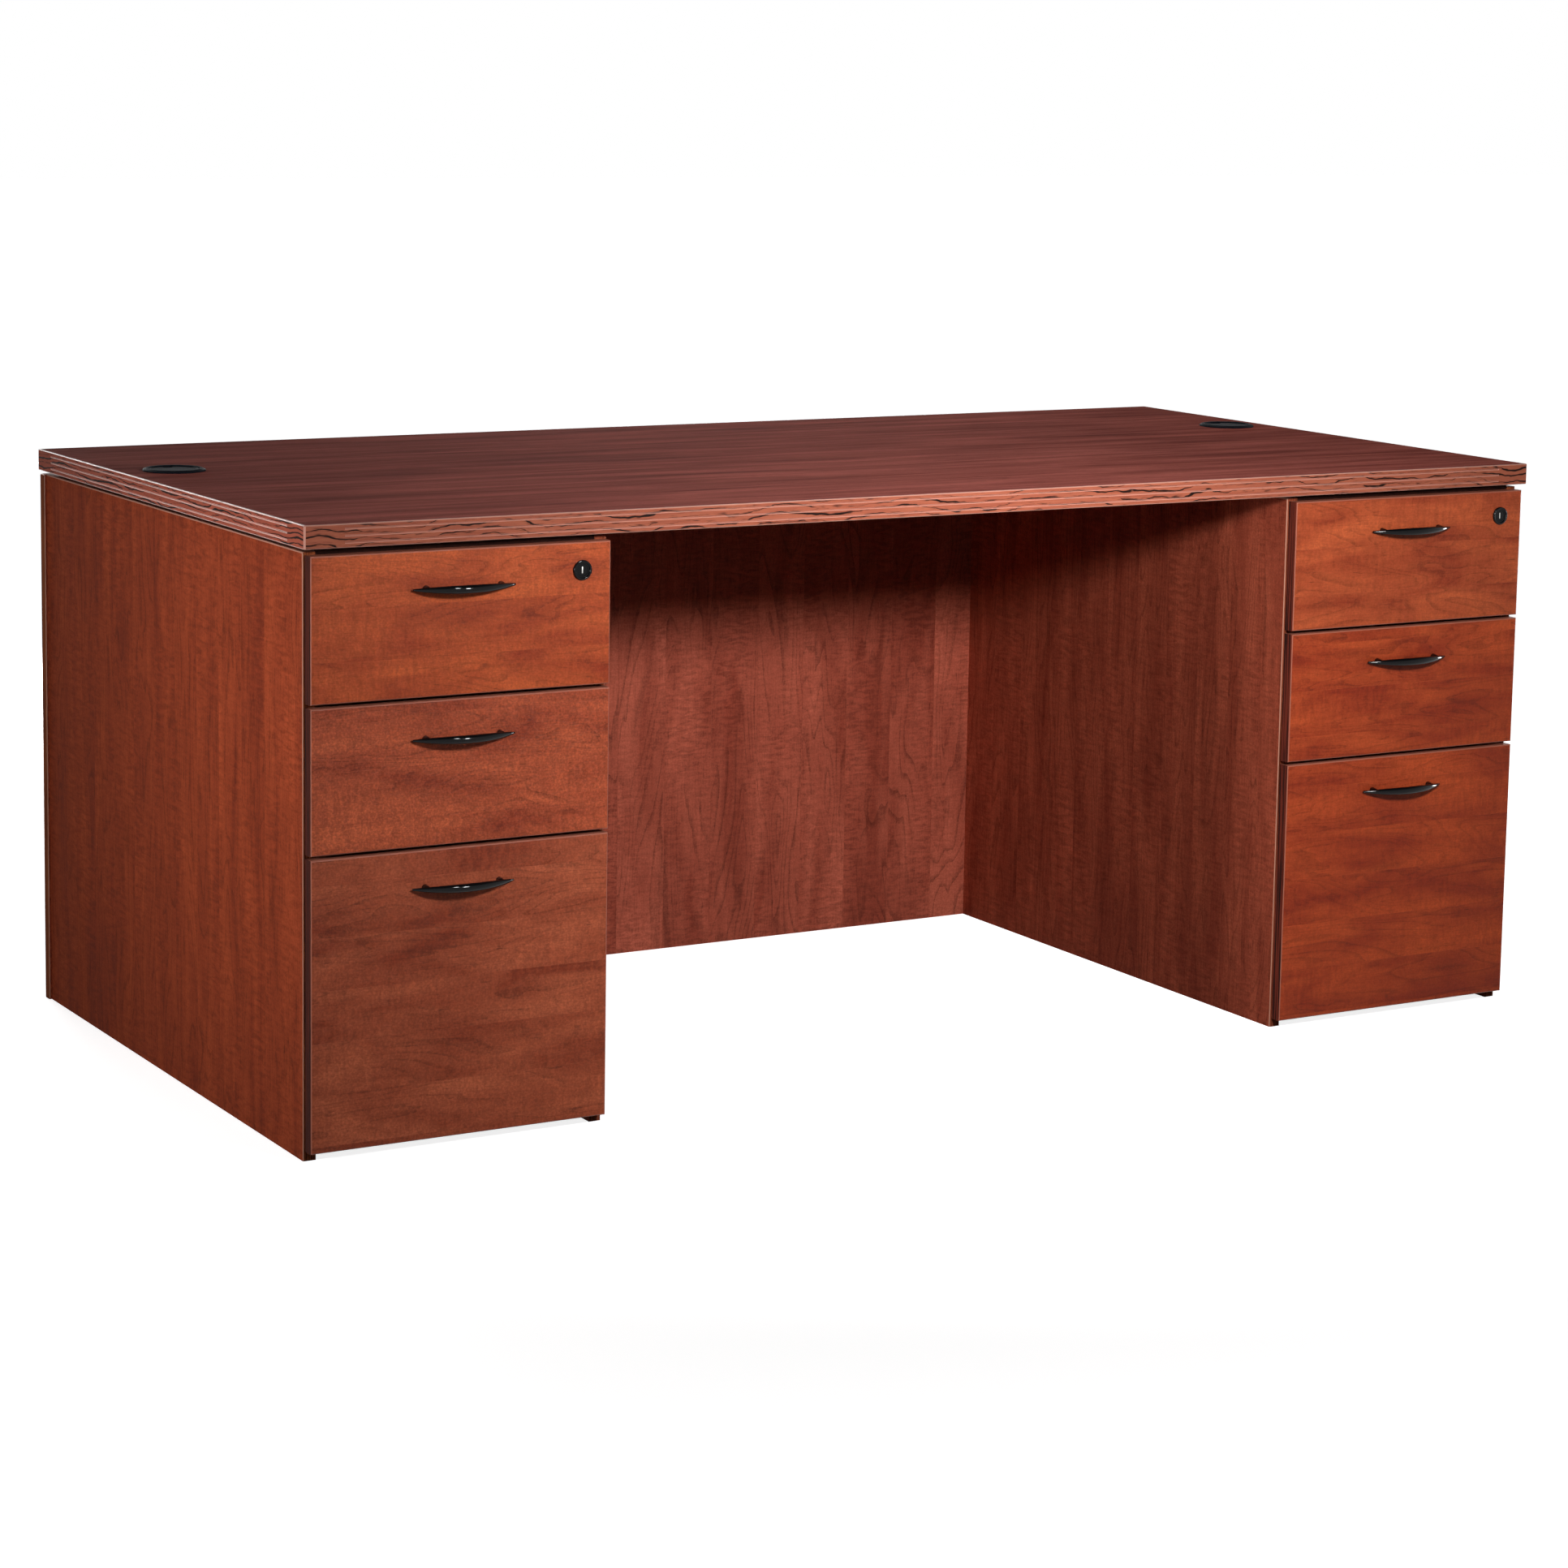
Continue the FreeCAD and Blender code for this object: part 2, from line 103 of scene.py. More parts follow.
# Printed cherry laminate, satin with a fine pressed texture: staves side by side, thin growth lines that
# slant and close to arches, cross ripple, fibres and a few dark flecks along the grain.
def cherryLaminate(name, look):
    material, tree, surface = newMaterial(name)
    place = addNode(tree, "TexCoord")
    start = addNode(tree, "VectorMath", {0: place.outputs["Object"], 1: look["shift"]}, operation="ADD")
    along, across = [addNode(tree, "VectorMath", {0: start.outputs[0], 1: way}, operation="DOT_PRODUCT")
                     for way in grainWays[look["grain"]]]
    sheet = addNode(tree, "CombineXYZ", {"X": along.outputs["Value"], "Y": across.outputs["Value"]})
    staves = addNode(tree, "TexBrick", {
        "Vector": sheet.outputs[0], "Color1": (0, 0, 0, 1), "Color2": (1, 1, 1, 1),
        "Mortar": (sheetPrint["jointTone"],) * 3 + (1,), "Mortar Size": sheetPrint["staveJoint"] / 1000,
        "Scale": 1.0, "Brick Width": look["stave"][0] / 1000, "Row Height": look["stave"][1] / 1000},
        offset=sheetPrint["staveOffset"])
    moved = addNode(tree, "VectorMath", {0: staves.outputs["Color"], 1: sheetPrint["staveShift"],
                                         2: sheet.outputs[0]}, operation="MULTIPLY_ADD")
    field = {}
    for pattern, kind in sheetPatterns.items():
        size = kind.get("size") or look[pattern]
        scaled = addNode(tree, "Mapping", {"Vector": moved.outputs[0], "Location": kind.get("offset", (0, 0, 0)),
                                           "Scale": (1000 / size[0], 1000 / size[1], 1)})
        noise = addNode(tree, "TexNoise", dict(kind["noise"], Vector=scaled.outputs[0], Scale=1.0),
                        noise_dimensions="2D")
        field[pattern] = noise.outputs[0]
    rings = addNode(tree, "Math", {0: field["arch"], 1: look["rings"]}, operation="MULTIPLY")
    late = addNode(tree, "Math", {0: rings.outputs[0]}, operation="FRACT")
    ringLine = addNode(tree, "MapRange", {"Value": late.outputs[0], **sheetReach["line"]},
                       interpolation_type="SMOOTHSTEP")
    zone = addNode(tree, "MapRange", {"Value": field["zone"], **sheetReach["zone"]})
    lines = addNode(tree, "Math", {0: ringLine.outputs[0], 1: zone.outputs[0]}, operation="MULTIPLY")
    ripple = addNode(tree, "MapRange", {"Value": field["ripple"], **sheetReach["ripple"]})
    still = addNode(tree, "Math", {0: zone.outputs[0], 1: -sheetPrint["still"], 2: 1.0}, operation="MULTIPLY_ADD")
    curl = addNode(tree, "Math", {0: ripple.outputs[0], 1: still.outputs[0]}, operation="MULTIPLY")
    pores = addNode(tree, "MapRange", {"Value": field["pore"], **sheetReach["pore"]},
                    interpolation_type="SMOOTHSTEP")
    streaks = addNode(tree, "MapRange", {"Value": field["streak"], **sheetReach["streak"]},
                      interpolation_type="SMOOTHSTEP")
    # grit speckle in the colour: partly the pressed texture, partly a painted glint of its sparkle
    gritField = addNode(tree, "TexNoise", {"Vector": place.outputs["Object"], "Scale": 1000 / sheetPrint["gritAndGlint"],
                                           "Detail": 2.0})
    gritAndGlint = addNode(tree, "MapRange", {"Value": gritField.outputs[0], **sheetReach["gritAndGlint"]})
    staveTone = addNode(tree, "Math", {0: staves.outputs["Color"], 1: look["staveTone"],
                                       2: -look["staveTone"] / 2}, operation="MULTIPLY_ADD")
    tone = addNode(tree, "Math", {0: field["mottle"], 1: staveTone.outputs[0]}, operation="ADD")
    toneShare = addNode(tree, "MapRange", {"Value": tone.outputs[0], **sheetReach["tone"]})
    tint = addNode(tree, "Mix", {0: toneShare.outputs[0], 6: linear(look["dark"]), 7: linear(look["light"])},
                   data_type="RGBA")
    shade = 1 + look["pores"] / 4 - look["fibre"] / 2
    for pattern, strength in (
            (field["fibre"], look["fibre"]), (curl.outputs[0], look["curl"]), (gritAndGlint.outputs[0], look["gritAndGlint"]),
            (lines.outputs[0], -look["lines"]), (pores.outputs[0], -look["pores"]),
            (streaks.outputs[0], -look["streaks"])):
        shade = addNode(tree, "Math", {0: pattern, 1: strength, 2: shade}, operation="MULTIPLY_ADD").outputs[0]
    faceColour = addNode(tree, "VectorMath", {0: tint.outputs[2], "Scale": shade}, operation="SCALE")
    # the narrow sides carry a dark streaked band; the arrises and upper sides are painted pale, a painted
    # highlight of light from above, and are smoother
    sides = addNode(tree, "VectorMath", {0: place.outputs["Normal"]}, operation="ABSOLUTE")
    flat = addNode(tree, "VectorMath", {0: sides.outputs[0], 1: faceWays[look["face"]]}, operation="DOT_PRODUCT")
    edge = addNode(tree, "MapRange", {"Value": flat.outputs["Value"], **turnReach["edge"]})
    arrisHighlight = addNode(tree, "MapRange", {"Value": flat.outputs["Value"], **turnReach["arrisHighlight"]})
    lifted = addNode(tree, "SeparateXYZ", {"Vector": place.outputs["Normal"]})
    upward = addNode(tree, "MapRange", {"Value": lifted.outputs["Z"], **turnReach["upward"]})
    paintedHighlight = addNode(tree, "Math", {0: arrisHighlight.outputs[0], 1: upward.outputs[0]}, operation="MAXIMUM")
    sideMap = addNode(tree, "Mapping", {"Vector": place.outputs["Object"],
                                        "Scale": [1000 / size for size in sheetPrint["sideStreak"]]})
    sideField = addNode(tree, "TexNoise", {"Vector": sideMap.outputs[0], "Scale": 1.0, "Detail": 3.0})
    sideInk = addNode(tree, "MapRange", {"Value": sideField.outputs[0], **sheetReach["sideStreak"]})
    side = addNode(tree, "Mix", {0: sideInk.outputs[0], 6: linear(look["edge"]), 7: linear(look["edgeInk"])},
                   data_type="RGBA")
    edgeColour = addNode(tree, "Mix", {0: paintedHighlight.outputs[0], 6: side.outputs[2], 7: linear(look["arrisHighlight"])},
                         data_type="RGBA")
    colour = addNode(tree, "Mix", {0: edge.outputs[0], 6: faceColour.outputs[0], 7: edgeColour.outputs[2]},
                     data_type="RGBA")
    relief = addNode(tree, "Math", {0: pores.outputs[0], 1: -sheetPrint["poreDepth"], 2: gritField.outputs[0]},
                     operation="MULTIPLY_ADD")
    bump = addNode(tree, "Bump", {"Height": relief.outputs[0], "Strength": look["press"],
                                  "Distance": sheetPrint["relief"] / 1000})
    faceRough = addNode(tree, "Math", {0: field["mottle"], 1: sheetPrint["roughSpan"],
                                       2: look["rough"] - sheetPrint["roughSpan"] / 2}, operation="MULTIPLY_ADD")
    edgeRough = addNode(tree, "MapRange", {"Value": paintedHighlight.outputs[0], **sheetPrint["sideRough"]})
    rough = addNode(tree, "Mix", {0: edge.outputs[0], 2: faceRough.outputs[0], 3: edgeRough.outputs[0]})
    tree.links.new(colour.outputs[2], surface.inputs["Base Color"])
    tree.links.new(rough.outputs[0], surface.inputs["Roughness"])
    tree.links.new(bump.outputs[0], surface.inputs["Normal"])
    surface.inputs["Specular IOR Level"].default_value = look["gloss"]
    return material


# the edge band's own patterns, as for the sheet: sizes along and across the band in mm
bandPatterns = {
    "wave": {"size": (130, 70), "noise": {"Detail": 4.0, "Roughness": 0.48}},
    "breaks": {"size": (150, 9), "offset": (3.7, 1.9, 0), "noise": {"Detail": 2.0}},
    "dash": {"size": (16, 1.1), "noise": {"Detail": 2.0}},
    "wash": {"size": (90, 4), "noise": {"Detail": 4.0}}}
bandReach = {
    "width": {"From Min": 0.32, "From Max": 0.68},
    "line": {"From Max": 0.06},
    "dash": {"From Min": 0.52, "From Max": 0.66},
    "beside": {"From Min": 0.42, "From Max": 0.1, "To Max": 0.75}}
bandPrint = {"drift": 5.0, "roughSpan": 0.12}


# Extruded PVC edge band, printed with a zebra grain: thin black lines that wander along the band
# over orange brown, with short dashes beside them.
def zebraBand(name, look):
    material, tree, surface = newMaterial(name)
    place = addNode(tree, "TexCoord")
    start = addNode(tree, "VectorMath", {0: place.outputs["Object"], 1: look["shift"]}, operation="ADD")
    length, height = [addNode(tree, "VectorMath", {0: start.outputs[0], 1: way}, operation="DOT_PRODUCT")
                      for way in grainWays["XY"]]
    sheet = addNode(tree, "CombineXYZ", {"X": length.outputs["Value"], "Y": height.outputs["Value"]})
    field = {}
    for pattern, kind in bandPatterns.items():
        size = kind["size"]
        scaled = addNode(tree, "Mapping", {"Vector": sheet.outputs[0], "Location": kind.get("offset", (0, 0, 0)),
                                           "Scale": (1000 / size[0], 1000 / size[1], 1)})
        noise = addNode(tree, "TexNoise", dict(kind["noise"], Vector=scaled.outputs[0], Scale=1.0),
                        noise_dimensions="2D")
        field[pattern] = noise.outputs[0]
    drift = addNode(tree, "Math", {0: field["wave"], 1: bandPrint["drift"]}, operation="MULTIPLY")
    rows = addNode(tree, "Math", {0: height.outputs["Value"], 1: 1000 / look["spacing"], 2: drift.outputs[0]},
                   operation="MULTIPLY_ADD")
    row = addNode(tree, "Math", {0: rows.outputs[0]}, operation="FRACT")
    middle = addNode(tree, "Math", {0: row.outputs[0], 1: 0.5}, operation="SUBTRACT")
    apart = addNode(tree, "Math", {0: middle.outputs[0]}, operation="ABSOLUTE")
    width = addNode(tree, "MapRange", {"Value": field["breaks"], **bandReach["width"], "To Max": look["inkWidth"]})
    inside = addNode(tree, "Math", {0: width.outputs[0], 1: apart.outputs[0]}, operation="SUBTRACT")
    line = addNode(tree, "MapRange", {"Value": inside.outputs[0], **bandReach["line"]})
    dash = addNode(tree, "MapRange", {"Value": field["dash"], **bandReach["dash"]})
    beside = addNode(tree, "MapRange", {"Value": apart.outputs[0], **bandReach["beside"]})
    dashes = addNode(tree, "Math", {0: dash.outputs[0], 1: beside.outputs[0]}, operation="MULTIPLY")
    ink = addNode(tree, "Math", {0: line.outputs[0], 1: dashes.outputs[0]}, operation="MAXIMUM")
    tint = addNode(tree, "Mix", {0: field["wash"], 6: linear(look["dark"]), 7: linear(look["light"])},
                   data_type="RGBA")
    printed = addNode(tree, "Mix", {0: ink.outputs[0], 6: tint.outputs[2], 7: linear(look["ink"])},
                      data_type="RGBA")
    # the walls of the flutes and the rounded arrises are painted pale, a painted highlight, and on the short sides
    # they are polished to catch real light too
    sides = addNode(tree, "VectorMath", {0: place.outputs["Normal"]}, operation="ABSOLUTE")
    flat = addNode(tree, "VectorMath", {0: sides.outputs[0], 1: faceWays[look["face"]]}, operation="DOT_PRODUCT")
    edge = addNode(tree, "MapRange", {"Value": flat.outputs["Value"], **turnReach["edge"]})
    colour = addNode(tree, "Mix", {0: edge.outputs[0], 6: printed.outputs[2], 7: linear(look["edge"])},
                     data_type="RGBA")
    faceRough = addNode(tree, "Math", {0: field["wash"], 1: bandPrint["roughSpan"],
                                       2: look["rough"] - bandPrint["roughSpan"] / 2}, operation="MULTIPLY_ADD")
    rough = addNode(tree, "Mix", {0: edge.outputs[0], 2: faceRough.outputs[0], 3: look["edgeRough"]})
    tree.links.new(colour.outputs[2], surface.inputs["Base Color"])
    tree.links.new(rough.outputs[0], surface.inputs["Roughness"])
    surface.inputs["Specular IOR Level"].default_value = look["gloss"]
    return material


# Moulded or enamelled black: nearly black with a faint cloudiness and a fine skin in the gloss.
def blackFinish(name, look):
    material, tree, surface = newMaterial(name)
    place = addNode(tree, "TexCoord")
    cloud = addNode(tree, "TexNoise", {"Vector": place.outputs["Object"], "Scale": 1000 / look["cloud"],
                                       "Detail": 3.0})
    colour = addNode(tree, "Mix", {0: cloud.outputs[0], 6: linear(look["dark"]), 7: linear(look["light"])},
                     data_type="RGBA")
    skin = addNode(tree, "TexNoise", {"Vector": place.outputs["Object"], "Scale": 1000 / look["skin"],
                                      "Detail": 2.0})
    bump = addNode(tree, "Bump", {"Height": skin.outputs[0], "Strength": look["press"],
                                  "Distance": look["relief"] / 1000})
    rough = addNode(tree, "Math", {0: cloud.outputs[0], 1: look["roughSpan"],
                                   2: look["rough"] - look["roughSpan"] / 2}, operation="MULTIPLY_ADD")
    tree.links.new(colour.outputs[2], surface.inputs["Base Color"])
    tree.links.new(rough.outputs[0], surface.inputs["Roughness"])
    tree.links.new(bump.outputs[0], surface.inputs["Normal"])
    surface.inputs["Specular IOR Level"].default_value = look["gloss"]
    return material


# Plated rolled steel: grey metal with fine drawn lines along the rail and a patchy bloom.
def platedSteel(name, look):
    material, tree, surface = newMaterial(name)
    place = addNode(tree, "TexCoord")
    drawMap = addNode(tree, "Mapping", {"Vector": place.outputs["Object"],
                                        "Scale": [1000 / size for size in look["draw"]]})
    drawn = addNode(tree, "TexNoise", {"Vector": drawMap.outputs[0], "Scale": 1.0, "Detail": 3.0})
    bloom = addNode(tree, "TexNoise", {"Vector": place.outputs["Object"], "Scale": 1000 / look["bloom"],
                                       "Detail": 4.0})
    colour = addNode(tree, "Mix", {0: bloom.outputs[0], 6: linear(look["dark"]), 7: linear(look["light"])},
                     data_type="RGBA")
    rough = addNode(tree, "Math", {0: drawn.outputs[0], 1: look["roughSpan"], 2: look["leastRough"]},
                    operation="MULTIPLY_ADD")
    bump = addNode(tree, "Bump", {"Height": drawn.outputs[0], "Strength": look["press"],
                                  "Distance": look["relief"] / 1000})
    tree.links.new(colour.outputs[2], surface.inputs["Base Color"])
    tree.links.new(rough.outputs[0], surface.inputs["Roughness"])
    tree.links.new(bump.outputs[0], surface.inputs["Normal"])
    surface.inputs["Metallic"].default_value = 1.0
    return material


# Pressed hardboard: matt brown with short felted fibres that lie every way.
def hardboard(name, look):
    material, tree, surface = newMaterial(name)
    place = addNode(tree, "TexCoord")
    felt = addNode(tree, "TexNoise", {"Vector": place.outputs["Object"], "Scale": 1000 / look["felt"],
                                      "Detail": 6.0, "Roughness": 0.7, "Distortion": 1.2})
    colour = addNode(tree, "Mix", {0: felt.outputs[0], 6: linear(look["dark"]), 7: linear(look["light"])},
                     data_type="RGBA")
    bump = addNode(tree, "Bump", {"Height": felt.outputs[0], "Strength": look["press"],
                                  "Distance": look["relief"] / 1000})
    tree.links.new(colour.outputs[2], surface.inputs["Base Color"])
    tree.links.new(bump.outputs[0], surface.inputs["Normal"])
    surface.inputs["Roughness"].default_value = look["rough"]
    return material


# what each kind of surface shows: hex colours, sizes in mm, shifts and cuts in metres, strengths as shares
# in each laminate look the arris colour is a painted highlight on the arrises and upper sides
topLook = {"grain": "X", "face": "Z", "shift": (3.3, 0.2, 0), "dark": "#813d34", "light": "#bc665a",
           "edge": "#8a4433", "edgeInk": "#5c2a1e", "arrisHighlight": "#8a4433", "stave": (40000, 130), "staveTone": 0.1,
           "mottle": (320, 28), "ripple": (30, 60), "arch": (1300, 60), "rings": 9, "lines": 0.17, "curl": 0.06,
           "fibre": 0.28, "pores": 0.2, "streaks": 0.4, "gritAndGlint": 0.08, "press": 0.1, "rough": 0.8, "gloss": 0.004}
endLook = {"grain": "Z", "face": "X", "shift": (0.4, 0.3, 3.2), "dark": "#792f19", "light": "#9f4527",
           "edge": "#94502f", "edgeInk": "#5e2917", "arrisHighlight": "#c08a74", "stave": (40000, 72), "staveTone": 0.09,
           "mottle": (280, 40), "ripple": (6, 26), "arch": (420, 60), "rings": 12, "lines": 0.3, "curl": 0.4,
           "fibre": 0.5, "pores": 0.2, "streaks": 0.5, "gritAndGlint": 0.24, "press": 0.1, "rough": 0.8, "gloss": 0.05}
# the inner panels are the end panels' laminate painted brighter and less red: painted light and painted sheen for
# the knee space
innerLitLook = dict(endLook, shift=(0.6, 0.35, 3.6), dark="#90402d", light="#b95b41", edge="#8a4630", rough=0.7)
backLook = dict(endLook, shift=(0.2, 0.55, 3.1), face="Y", dark="#7e3420", light="#a64e33")
# the front top rails are painted nearly black: painted shade for the dark gap above the fronts
railShadeLook = dict(endLook, face="Y", dark="#1d0c08", light="#2a130d", edge="#21100b", edgeInk="#140805",
                arrisHighlight="#21100b")
modestyLook = {"grain": "Z", "face": "Y", "shift": (0.1, 0.1, 3.9), "dark": "#853b2b", "light": "#ae5843",
               "edge": "#8a4433", "edgeInk": "#5c2a1e", "arrisHighlight": "#8a4433", "stave": (40000, 76),
               "staveTone": 0.22, "mottle": (260, 60), "ripple": (5, 20), "arch": (380, 74), "rings": 13,
               "lines": 0.36, "curl": 0.44, "fibre": 0.36, "pores": 0.16, "streaks": 0.5, "gritAndGlint": 0.24,
               "press": 0.1, "rough": 0.6, "gloss": 0.1}
frontLook = {"grain": "X", "face": "Y", "edge": "#7a3020", "edgeInk": "#1c0a07", "arrisHighlight": "#a8634f",
             "stave": (40000, 62), "staveTone": 0.12, "mottle": (170, 44), "ripple": (7, 30), "arch": (300, 58),
             "rings": 13, "lines": 0.26, "curl": 0.24, "fibre": 0.3, "pores": 0.14, "streaks": 0.4, "gritAndGlint": 0.2,
             "press": 0.4, "rough": 0.44, "gloss": 0.14}
# each front is cut from another part of the sheet, redder or paler; the left ones get darker sides as painted
# shade, stronger speckle in the colour as painted sparkle, and a deeper press
frontTints = {
    "left_upper_drawer_front": {"dark": "#89331a", "light": "#bd572c", "edge": "#4a1c12", "gritAndGlint": 0.28},
    "left_middle_drawer_front": {"dark": "#86351f", "light": "#b85836", "edge": "#4a1c12", "gritAndGlint": 0.46,
                                 "press": 0.8},
    "left_file_drawer_front": {"dark": "#843720", "light": "#b25a3b", "edge": "#4a1c12", "gritAndGlint": 0.34,
                               "press": 0.6},
    "right_upper_drawer_front": {"dark": "#89351d", "light": "#bc5933"},
    "right_middle_drawer_front": {"dark": "#872e17", "light": "#ba5029"},
    "right_file_drawer_front": {"dark": "#862d16", "light": "#b84d27"}}
frontCut = {"start": 3, "along": 0.11, "across": 0.113}
boxLook = {"grain": "XY", "face": "XY", "shift": (3.4, 0.3, 0), "dark": "#a05a38", "light": "#b97048",
           "edge": "#ad6844", "edgeInk": "#96562f", "arrisHighlight": "#ad6844", "stave": (40000, 120), "staveTone": 0.06,
           "mottle": (300, 30), "ripple": (20, 60), "arch": (800, 60), "rings": 8, "lines": 0.14, "curl": 0.05,
           "fibre": 0.14, "pores": 0.12, "streaks": 0.1, "gritAndGlint": 0.03, "press": 0.08, "rough": 0.5, "gloss": 0.2}
# the edge colour of each band look is a painted highlight on the flute walls and arrises
longBandLook = {"face": "Y", "shift": (0.1, 0, 0.013), "dark": "#8f4736", "light": "#b5694e", "ink": "#1e0f0b",
                "inkWidth": 0.19, "spacing": 8.0, "edge": "#c28a7a", "edgeRough": 0.5, "rough": 0.55,
                "gloss": 0.07}
shortBandLook = dict(longBandLook, face="X", dark="#8c3f2d", light="#b05c47", ink="#140806", inkWidth=0.25,
                     spacing=5.5, edge="#e8c0b5", edgeRough=0.16, gloss=0.03)
pullLook = {"dark": "#030304", "light": "#070709", "cloud": 9, "skin": 0.9, "press": 0.01, "relief": 0.2,
            "rough": 0.08, "roughSpan": 0.1, "gloss": 0.18}
lockLook = dict(pullLook, dark="#050506", light="#0b0b0e", skin=0.7, rough=0.09, gloss=0.16)
grommetLook = dict(pullLook, dark="#0a0c11", light="#12151c", skin=0.6, press=0.12, rough=0.6, gloss=0.02)
zincLook = {"dark": "#9a9ca0", "light": "#c3c6ca", "draw": (0.9, 60, 0.9), "bloom": 35, "press": 0.08,
            "relief": 0.2, "leastRough": 0.24, "roughSpan": 0.25}
nickelLook = dict(zincLook, dark="#b4b3ae", light="#d2d1cb", leastRough=0.18)
bottomLook = {"dark": "#5b3b26", "light": "#8a6243", "felt": 5, "press": 0.15, "relief": 0.4, "rough": 0.8}

pullMaterial = blackFinish("glossBlackEnamel", pullLook)
lockMaterial = blackFinish("blackNickelPlate", lockLook)
grommetMaterial = blackFinish("mouldedAbs", grommetLook)
zincMaterial = platedSteel("zincPlatedSteel", zincLook)
nickelMaterial = platedSteel("nickelPlatedSteel", nickelLook)
panelMaterial = cherryLaminate("cherryLaminatePanel", endLook)
# a node takes the first finish whose ending its name has
finishes = (("desktop", cherryLaminate("cherryLaminateTop", topLook)),
            ("modesty_panel", cherryLaminate("cherryLaminateModesty", modestyLook)),
            ("edge_bands_long", zebraBand("zebraEdgeBandLong", longBandLook)),
            ("edge_bands_short", zebraBand("zebraEdgeBandShort", shortBandLook)),
            ("_end_panel", panelMaterial), ("pedestal_floors", panelMaterial),
            ("_inner_panel", cherryLaminate("cherryLaminateInnerLit", innerLitLook)),
            ("pedestal_backs", cherryLaminate("cherryLaminateBack", backLook)),
            ("top_rails", cherryLaminate("railPaintedShade", railShadeLook)),
            ("drawer_walls", cherryLaminate("cherryLaminateBox", boxLook)),
            ("drawer_bottom", hardboard("hardboardBottom", bottomLook)),
            ("rails", zincMaterial), ("runners", zincMaterial), ("lock_cam", zincMaterial),
            ("lock_barrel", lockMaterial), ("lock_plug", lockMaterial), ("drawer_pull", pullMaterial),
            ("grommet_liners", grommetMaterial), ("grommet_cap", grommetMaterial))
for index, (name, node) in enumerate(sorted(nodes.items())):
    if name in frontTints:
        cut = (frontCut["start"] + frontCut["along"] * index, 0.0, frontCut["across"] * index)
        material = cherryLaminate(name + "Laminate", dict(frontLook, shift=cut, **frontTints[name]))
    else:
        material = next(finish for ending, finish in finishes if name.endswith(ending))
    for slot in node.material_slots:
        slot.material = material
print("materials on", len(nodes), "nodes")


def newPiece(name, mesh, material, body):
    bmesh.ops.scale(mesh, vec=toMetres, verts=mesh.verts)
    data = bpy.data.meshes.new(name)
    mesh.to_mesh(data)
    mesh.free()
    data.materials.append(material)
    for face in data.polygons:
        face.use_smooth = True
    piece = bpy.data.objects.new(name, data)
    bpy.context.scene.collection.objects.link(piece)
    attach(piece, body)
    return piece


# middle of each pedestal across the desk, in mm
columns = {"left": -701.5, "right": 701.5}

# bow pulls, in mm: the bow's centre line is a parabola in plan and its section swells to the middle
pull = {"length": 131.0, "spacing": 96.0, "reach": 26.0, "depth": 9.0, "height": 10.4, "tip": 2.4, "swell": 2.2,
        "tipStandoff": 3.2, "postRadius": 4.6, "postTip": 2.6, "rings": 28, "sides": 24, "faceY": -437.75,
        "rows": {"upper": 668.0, "middle": 491.55, "file": 315.1}}


def bowCentre(share, x, z):
    middle = pull["reach"] - pull["depth"] / 2
    standoff = pull["tipStandoff"] + (middle - pull["tipStandoff"]) * (1 - share ** 2)
    return Vector((x + share * pull["length"] / 2, pull["faceY"] - standoff, z))


def bowPull(name, x, z, body):
    mesh = bmesh.new()
    shares = [math.sin(math.pi / 2 * (2 * i / pull["rings"] - 1)) for i in range(pull["rings"] + 1)]
    sizes = [1 - abs(share) ** pull["swell"] for share in shares]
    depths = [pull["tip"] + (pull["depth"] - pull["tip"]) * size for size in sizes]
    heights = [pull["tip"] + (pull["height"] - pull["tip"]) * size for size in sizes]
    centres = [bowCentre(share, x, z) for share in shares]
    start = Matrix.Translation(centres[0]) @ Matrix.Rotation(math.pi / 2, 4, "Y")
    bmesh.ops.create_circle(mesh, segments=pull["sides"], radius=pull["tip"] / 2, cap_ends=True, matrix=start)
    edges = [edge for edge in mesh.edges if edge.is_boundary]
    for i in range(1, len(shares)):
        grown = bmesh.ops.extrude_edge_only(mesh, edges=edges)["geom"]
        corners = [item for item in grown if isinstance(item, bmesh.types.BMVert)]
        edges = [item for item in grown if isinstance(item, bmesh.types.BMEdge) and item.is_boundary]
        bmesh.ops.scale(mesh, vec=(1, depths[i] / depths[i - 1], heights[i] / heights[i - 1]),
                        space=Matrix.Translation(-centres[i - 1]), verts=corners)
        bmesh.ops.translate(mesh, vec=centres[i] - centres[i - 1], verts=corners)
    bmesh.ops.contextual_create(mesh, geom=edges)
    for way in (-1, 1):
        end = bowCentre(way * pull["spacing"] / pull["length"], x, z)
        depth = pull["faceY"] - end.y
        middle = Matrix.Translation((end.x, pull["faceY"] - depth / 2, z))
        bmesh.ops.create_cone(mesh, segments=pull["sides"], radius1=pull["postRadius"], radius2=pull["postTip"],
                              depth=depth, cap_ends=True, matrix=middle @ Matrix.Rotation(math.pi / 2, 4, "X"))
    bmesh.ops.recalc_face_normals(mesh, faces=mesh.faces)
    piece = newPiece(name, mesh, pullMaterial, body)
    return piece


for side, x in columns.items():
    for row, z in pull["rows"].items():
        piece = bowPull(side + "_" + row + "_bow", x, z, side + "_" + row + "_drawer")
        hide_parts(side + "_" + row + "_drawer_pull")
print("pulls made")


